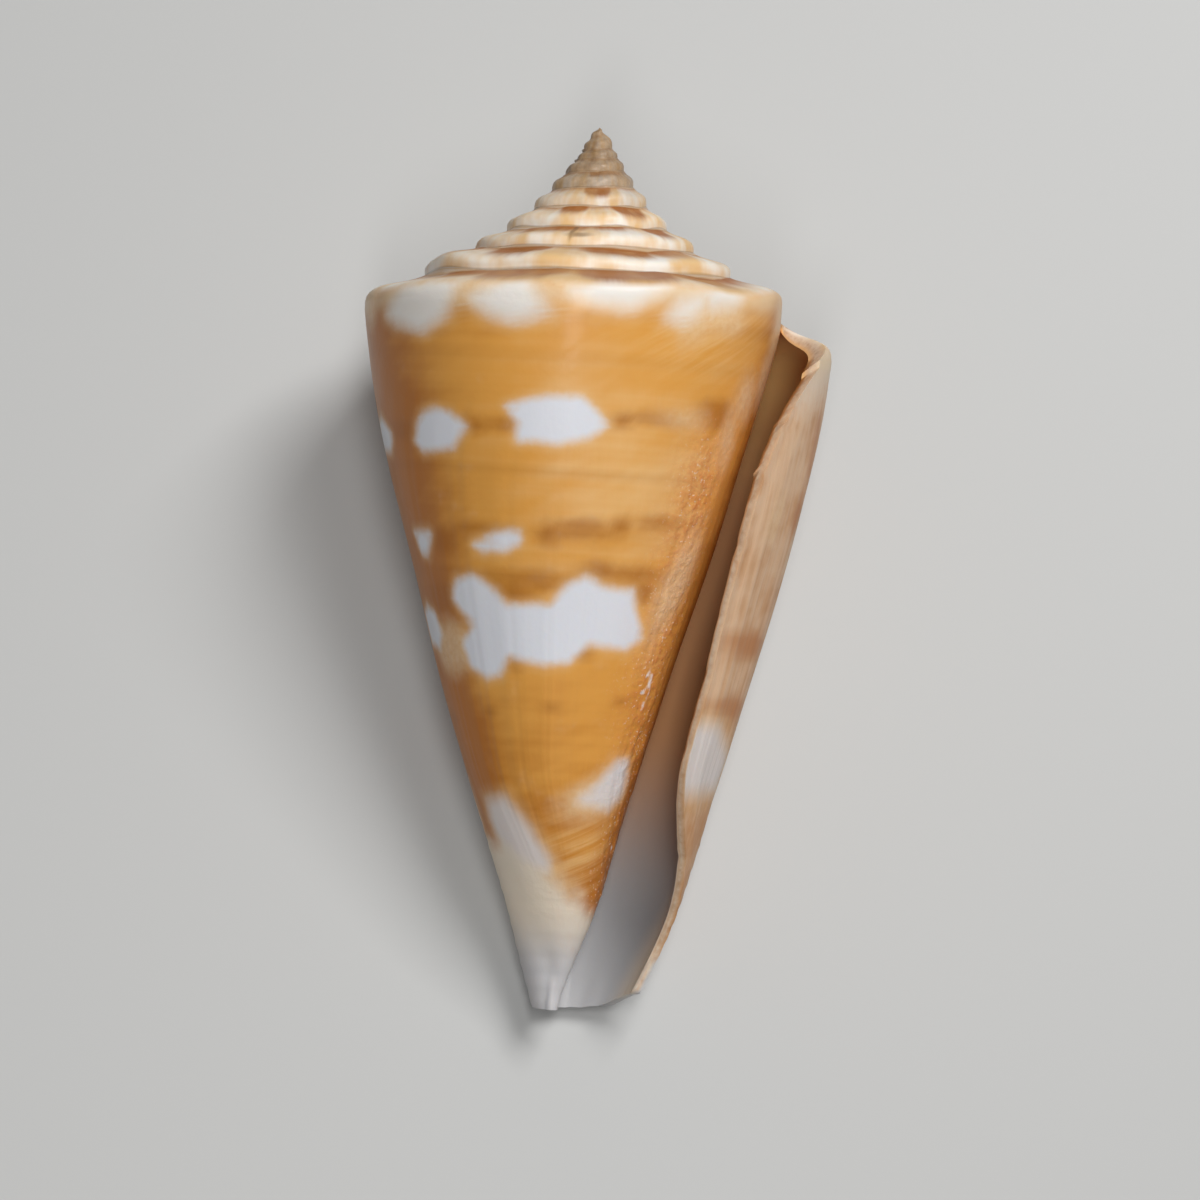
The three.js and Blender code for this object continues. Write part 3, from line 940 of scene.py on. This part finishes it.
def spire():
    """The ramps and the steps between them."""
    return np.where(turn < 0, 1.0, 1 - ease(*SPIRE_EDGE, ramp_share)) * outside * (row <= RAMP_ROWS)


def pale_base():
    return ease(*PALE_BASE_DEPTHS, depth + np.interp(around, BASE_ANGLES, BASE_SHIFTS))


def inner_face():
    """The inner face of the wall, and the turn inside it where the space is open."""
    inner_turn = (1 - ease(*INNER_ANGLES, around)) * outside * (row >= UNDER_ROW)
    return np.where(kind == INSIDE, 1.0, inner_turn)


def set_field(name, values):
    attribute = mesh.attributes.new(name, "FLOAT", "POINT")
    attribute.data.foreach_set("value", values.astype(np.float32))


def set_place(name, values):
    attribute = mesh.attributes.new(name, "FLOAT_VECTOR", "POINT")
    attribute.data.foreach_set("vector", values.astype(np.float32).ravel())


set_place("spot", points)
set_place("grain", growth_grain())
set_place("slant", slanting())
set_field("white", np.maximum(outline_field(WHITE_OUTLINES), mark_field(back_marks())))
set_field("cream", mark_field(CREAM_MARKS_AND_RIDGE_HIGHLIGHT))
set_field("brown", mark_field(BROWN_MARKS))
set_field("painted_glints", mark_field(PAINTED_GLINT_MARKS))
set_field("crack", mark_field(CRACK_MARKS))
set_field("scar", apex_scar())
set_field("brushed", brushed())
set_field("tone_and_painted_shading", tone_and_painted_shading())
set_field("lines", spiral_lines())
set_field("worn", worn)
set_field("lip", lip_share)
set_field("rim", ease(*RIM_TURNS, turn))
set_field("weathered", weathered())
set_field("soft", mark_softness())
set_field("ramp", ramp_share)
set_field("on_ramp", on_ramp)
set_field("channel", channel_reach())
set_field("suture", suture())
set_field("spire", spire())
set_field("early", 1 - ease(*EARLY_TURNS, turn))
set_field("base", pale_base())
set_field("foot", ease(*FOOT_DEPTHS, depth))
set_field("crest", crest_cream_and_highlight())
set_field("inside", inner_face())
set_field("edge", kind == EDGE)
set_field("depth", depth)

# The shell is laid down as the solid is, over the same place
shell = bpy.data.objects.new("cone_shell", mesh)
bpy.context.scene.collection.objects.link(shell)
lay = Matrix.Rotation(REST_LIFT, 4, "X") @ Matrix.Rotation(REST_ROLL, 4, "Y")
laid = points @ np.array(lay.to_3x3()).T
low, high = laid.min(axis=0), laid.max(axis=0)
offset = Vector((-(low[0] + high[0]) / 2, -(low[1] + high[1]) / 2, -low[2])) * MM
place = Matrix.Translation(offset) @ lay @ Matrix.Scale(MM, 4)
mesh.transform(place)
mesh.shade_smooth()
mesh.set_sharp_from_angle(angle=SHARP_ANGLE)


def linear(red, green, blue):
    """Linear colour from the usual 0 to 255 values."""
    values = [v / 255 for v in (red, green, blue)]
    return *(v / 12.92 if v <= 0.04045 else ((v + 0.055) / 1.055) ** 2.4 for v in values), 1.0


class Nodes:
    """Short calls for the nodes of one material."""

    def __init__(self, name):
        self.material = bpy.data.materials.new(name)
        self.material.use_nodes = True
        self.tree = self.material.node_tree
        self.shader = self.tree.nodes["Principled BSDF"]

    def add(self, kind, inputs, **settings):
        node = self.tree.nodes.new("ShaderNode" + kind)
        for name, value in settings.items():
            setattr(node, name, value)
        for socket, value in inputs.items():
            self.put(node.inputs[socket], value)
        return node

    def put(self, socket, value):
        if isinstance(value, bpy.types.NodeSocket):
            self.tree.links.new(value, socket)
        else:
            socket.default_value = value

    def field(self, name):
        return self.add("Attribute", {}, attribute_name=name).outputs["Fac"]

    def place(self, name, stretch=(1, 1, 1)):
        vector = self.add("Attribute", {}, attribute_name=name).outputs["Vector"]
        return self.add("VectorMath", {0: vector, 1: stretch}, operation="MULTIPLY").outputs[0]

    def math(self, operation, first, second):
        return self.add("Math", {0: first, 1: second}, operation=operation).outputs[0]

    def sum(self, *values):
        total = values[0]
        for value in values[1:]:
            total = self.math("ADD", total, value)
        return total

    def times(self, first, second):
        return self.math("MULTIPLY", first, second)

    def weigh(self, *pairs):
        """Sum of values, each times its weight."""
        return self.sum(*(self.times(value, weight) for value, weight in pairs))

    def step(self, value, low, high, start=0.0, end=1.0):
        """Smooth change from start to end between two values."""
        inputs = {"Value": value, "From Min": low, "From Max": high, "To Min": start, "To Max": end}
        return self.add("MapRange", inputs, interpolation_type="SMOOTHSTEP").outputs["Result"]

    def noise(self, vector, scale=1.0, detail=3.0, rough=0.55):
        """Noise about zero, mostly within one half."""
        inputs = {"Vector": vector, "Scale": scale, "Detail": detail, "Roughness": rough}
        return self.math("SUBTRACT", self.add("TexNoise", inputs).outputs[0], 0.5)

    def mix(self, share, first, second):
        """Blend of two colours, each another node's or red, green and blue from 0 to 255."""
        first, second = (linear(*c) if isinstance(c, tuple) else c for c in (first, second))
        return self.add("Mix", {0: share, 6: first, 7: second}, data_type="RGBA").outputs[2]


class ShellNodes(Nodes):
    """Nodes of the shell, with the noises and fields that several of its parts use."""

    def __init__(self):
        super().__init__("shell")
        self.spot = self.place("spot")
        self.broad = self.noise(self.spot, BROAD_SCALE)
        self.middle = self.noise(self.spot, MIDDLE_SCALE)
        self.fine = self.noise(self.spot, FINE_SCALE)
        self.streaks = self.noise(self.place("grain", STREAK_STRETCH), detail=4.0)
        self.bands = self.noise(self.place("grain", BAND_STRETCH), detail=1.5)
        self.blush = self.noise(self.place("grain", BLUSH_STRETCH), detail=2.0)
        self.worn = self.field("worn")
        self.lip = self.field("lip")
        self.depth = self.field("depth")
        brown = self.sum(self.field("brown"), self.weigh((self.middle, 0.7), (self.bands, 0.5)))
        self.dark = self.step(brown, -0.6, 0.5, 0.0, 0.75)
        cream = self.sum(self.field("cream"), self.times(self.middle, 0.9))
        self.pale = self.step(cream, -0.9, 0.7, 0.0, 0.75)


def orange_ground(n):
    clouds = n.noise(n.place("slant", CLOUD_STRETCH), detail=2.0)
    uneven = n.weigh((n.broad, 1.4), (clouds, 1.2), (n.bands, 0.8), (n.streaks, 0.15))
    # the tone field carries painted light and painted shade along with the orange's own unevenness
    tone_and_painted_shading = n.sum(n.field("tone_and_painted_shading"), uneven)
    ground = n.mix(n.step(tone_and_painted_shading, -1.4, 0.1), DEEP_ORANGE, ORANGE)
    ground = n.mix(n.step(tone_and_painted_shading, 0.0, 1.2), ground, LIGHT_ORANGE)
    ground = n.mix(n.dark, ground, MARK_BROWN)
    return n.mix(n.times(n.field("lines"), 0.5), ground, LINE_BROWN)


def lip_strip(n, ground):
    """Beside the lip the ground is paler and streaked along the growth lines."""
    uneven = n.weigh((n.streaks, 0.9), (n.middle, 0.5), (n.blush, 0.9), (n.field("rim"), 0.2))
    shade = n.sum(uneven, n.step(n.depth, 32, 40, 0.0, -0.3))
    strip = n.mix(n.step(shade, -0.3, 0.35), STRIP_TAN, STRIP_PALE)
    strip = n.mix(n.dark, strip, STRIP_BROWN)
    weathering = n.sum(n.field("weathered"), n.times(n.fine, 0.6))
    strip = n.mix(n.step(weathering, 0.2, 0.9, 0.0, 0.75), strip, WEATHERED_PALE)
    return n.mix(n.lip, ground, strip)


def worn_strip(n, ground):
    """Rusty grain where the surface is worn, and pale specks on it that are painted sparkle highlights."""
    ground = n.mix(n.times(n.worn, n.step(n.fine, -0.15, 0.2, 0.1, 0.7)), ground, WORN_RUST)
    # painted sparkle highlights on the worn strip
    painted_sparkles = n.step(n.noise(n.spot, SPARKLE_SCALE, detail=1.0), 0.13, 0.24, 0.0, 0.8)
    return n.mix(n.times(n.worn, painted_sparkles), ground, WORN_SPARKLE_HIGHLIGHT)


def pale_marks(n, ground):
    """Slanting lines, the pale shoulder with a painted highlight on its edge, the cream and white marks, and
    the painted glints.
    """
    slant = n.noise(n.place("slant", BRUSH_STRETCH), detail=5.0, rough=0.65)
    ground = n.mix(n.times(n.field("brushed"), n.step(slant, -0.15, 0.25, 0.0, 0.7)), ground, BRUSHED_PALE)
    # cream on the shoulder's rounded edge, partly a painted highlight
    ground = n.mix(n.times(n.field("crest"), n.step(n.blush, -0.3, 0.3, 0.35, 0.85)), ground, CREST_CREAM_AND_HIGHLIGHT)
    ground = n.mix(n.pale, ground, n.mix(n.step(n.fine, -0.5, 0.5), MARK_CREAM, MARK_PALE))
    broken = n.sum(n.field("white"), n.weigh((n.middle, 0.5), (n.fine, 0.15)))
    edge = n.math("DIVIDE", broken, n.field("soft"))
    ground = n.mix(n.step(edge, -0.8, 0.1, 0.0, 0.4), ground, HALO_CREAM)
    white = n.mix(n.step(n.depth, 11, 15), SHOULDER_WHITE, SIDE_WHITE)
    warmer = n.math("MAXIMUM", n.lip, n.step(n.depth, 33, 39))
    white = n.mix(n.times(warmer, 0.85), white, LOW_WHITE)
    ground = n.mix(n.step(edge, -0.42, 0.36), ground, white)
    # painted glints: white flecks standing for highlights off the worn strip's pits
    glints = n.sum(n.field("painted_glints"), n.times(n.fine, 0.25))
    return n.mix(n.step(glints, -0.05, 0.08), ground, GLINT_WHITE)


def base_end(n, ground):
    share = n.step(n.sum(n.field("base"), n.times(n.middle, 0.8)), 0.05, 0.95, 0.0, 0.95)
    return n.mix(share, ground, n.mix(n.field("foot"), BASE_CREAM, FOOT_GREY))


def spire_top(n, ground):
    """The ramps carry brown patches beside the suture, which is darkened with painted shadow, the steps are
    pale and the tip is worn.
    """
    pale_step = n.weigh((n.streaks, 0.2), (n.blush, 1.6), (n.middle, 0.6))
    top = n.mix(n.step(pale_step, -0.3, 0.4), STEP_ORANGE, STEP_PALE)
    reach = n.sum(n.field("channel"), n.weigh((n.streaks, 0.25), (n.middle, 0.2)))
    patch = n.step(n.math("SUBTRACT", reach, n.field("ramp")), -0.3, 0.25)
    top = n.mix(n.times(patch, n.step(n.blush, -0.3, 0.1, 0.6, 0.97)), top, RAMP_BROWN)
    # painted shadow along the sutures
    top = n.mix(n.times(n.field("suture"), 0.5), top, SUTURE_SHADOW_BROWN)
    tip = n.mix(n.step(n.sum(n.middle, n.fine), -0.3, 0.3), TIP_DARK, TIP_PALE)
    top = n.mix(n.times(n.field("early"), 0.85), top, tip)
    scar = n.sum(n.field("scar"), n.times(n.fine, 0.5))
    top = n.mix(n.step(scar, 0.3, 0.8, 0.0, 0.85), top, SCAR_PALE)
    top = n.mix(n.step(n.field("crack"), -0.1, 0.06, 0.0, 0.6), top, CRACK_BROWN)
    return n.mix(n.field("spire"), ground, top)


def inside_and_edge(n, ground):
    deep = n.mix(n.step(n.depth, 12, 22), INNER_ORANGE, INNER_TAN)
    deep = n.mix(n.step(n.depth, 33, 45), deep, INNER_GREY)
    # painted light: the inner face beside the lip turns lighter cream towards the base, where the lip's
    # shadow falls
    deep = n.mix(n.times(n.field("rim"), n.step(n.depth, 30, 42, 0.15, 0.8)), deep, RIM_PAINTED_LIGHT_CREAM)
    ground = n.mix(n.field("inside"), ground, deep)
    return n.mix(n.field("edge"), ground, n.mix(n.step(n.fine, -0.3, 0.3), EDGE_TAN, EDGE_PALE))


def set_finish(n):
    """Gloss, a little light through the surface, and the finest relief."""
    uneven = n.weigh((n.worn, -0.08), (n.lip, 0.15), (n.field("on_ramp"), 0.1), (n.broad, 0.12))
    n.put(n.shader.inputs["Roughness"], n.sum(uneven, n.times(n.field("base"), 0.12), ROUGHNESS))
    n.shader.inputs["Subsurface Weight"].default_value = SUBSURFACE
    n.shader.inputs["Subsurface Radius"].default_value = SUBSURFACE_RADIUS
    n.shader.inputs["Subsurface Scale"].default_value = MM
    n.shader.inputs["Specular IOR Level"].default_value = SPECULAR
    n.shader.inputs["Coat Weight"].default_value = COAT
    n.shader.inputs["Coat Roughness"].default_value = COAT_ROUGHNESS
    grain = n.sum(0.25, n.weigh((n.worn, 2.0), (n.pale, 0.8)))
    hills = n.weigh((n.streaks, n.sum(0.12, n.lip)), (n.fine, grain))
    bump = n.add("Bump", {"Height": hills, "Distance": BUMP_DISTANCE, "Strength": BUMP_STRENGTH})
    n.put(n.shader.inputs["Normal"], bump.outputs[0])


def shell_material():
    n = ShellNodes()
    ground = orange_ground(n)
    for part in (lip_strip, worn_strip, pale_marks, base_end, spire_top, inside_and_edge):
        ground = part(n, ground)
    n.put(n.shader.inputs["Base Color"], ground)
    set_finish(n)
    return n.material


mesh.materials.append(shell_material())
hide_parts("shell")
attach(shell, "root")

# Camera, looking along the shell's own Z
turn_frame = lay.to_3x3()
right = turn_frame @ Vector((math.cos(VIEW_TILT), math.sin(VIEW_TILT), 0))
up = turn_frame @ Vector((-math.sin(VIEW_TILT), math.cos(VIEW_TILT), 0))
back = turn_frame @ Vector((0, 0, 1))
camera_data = bpy.data.cameras.new("camera")
camera_data.sensor_width = SENSOR
camera_data.lens = SENSOR * VIEW_DISTANCE * PIXELS_PER_MM / PIXELS
camera_data.clip_start = CLIP_START
camera = bpy.data.objects.new("camera", camera_data)
bpy.context.scene.collection.objects.link(camera)
eye = place @ (VIEW_CENTRE + Vector((0, 0, VIEW_DISTANCE)))
camera.matrix_world = Matrix.Translation(eye) @ Matrix((right, up, back)).transposed().to_4x4()
bpy.context.scene.camera = camera

bpy.ops.mesh.primitive_plane_add(size=FLOOR_SIZE)
floor = bpy.context.object
floor.name = "floor"
floor_material = bpy.data.materials.new("floor")
floor_material.use_nodes = True
floor_material.node_tree.nodes["Principled BSDF"].inputs["Base Color"].default_value = FLOOR_COLOUR
floor.data.materials.append(floor_material)

world = bpy.data.worlds.new("studio")
world.use_nodes = True
world.node_tree.nodes["Background"].inputs["Strength"].default_value = WORLD_STRENGTH
bpy.context.scene.world = world
bpy.context.scene.view_settings.view_transform = "Standard"


def area_light(name, where, size, power):
    """Soft light aimed at the middle of the shell, placed from there by the camera's own directions."""
    data = bpy.data.lights.new(name, "AREA")
    data.shape = "RECTANGLE"
    data.size, data.size_y = size
    data.energy = power
    light = bpy.data.objects.new(name, data)
    bpy.context.scene.collection.objects.link(light)
    across, high, near = where
    away = right * across + up * high + back * near
    light.location = place @ VIEW_CENTRE + away
    light.rotation_euler = away.to_track_quat("Z", "Y").to_euler()


for light in LIGHTS:
    area_light(*light)
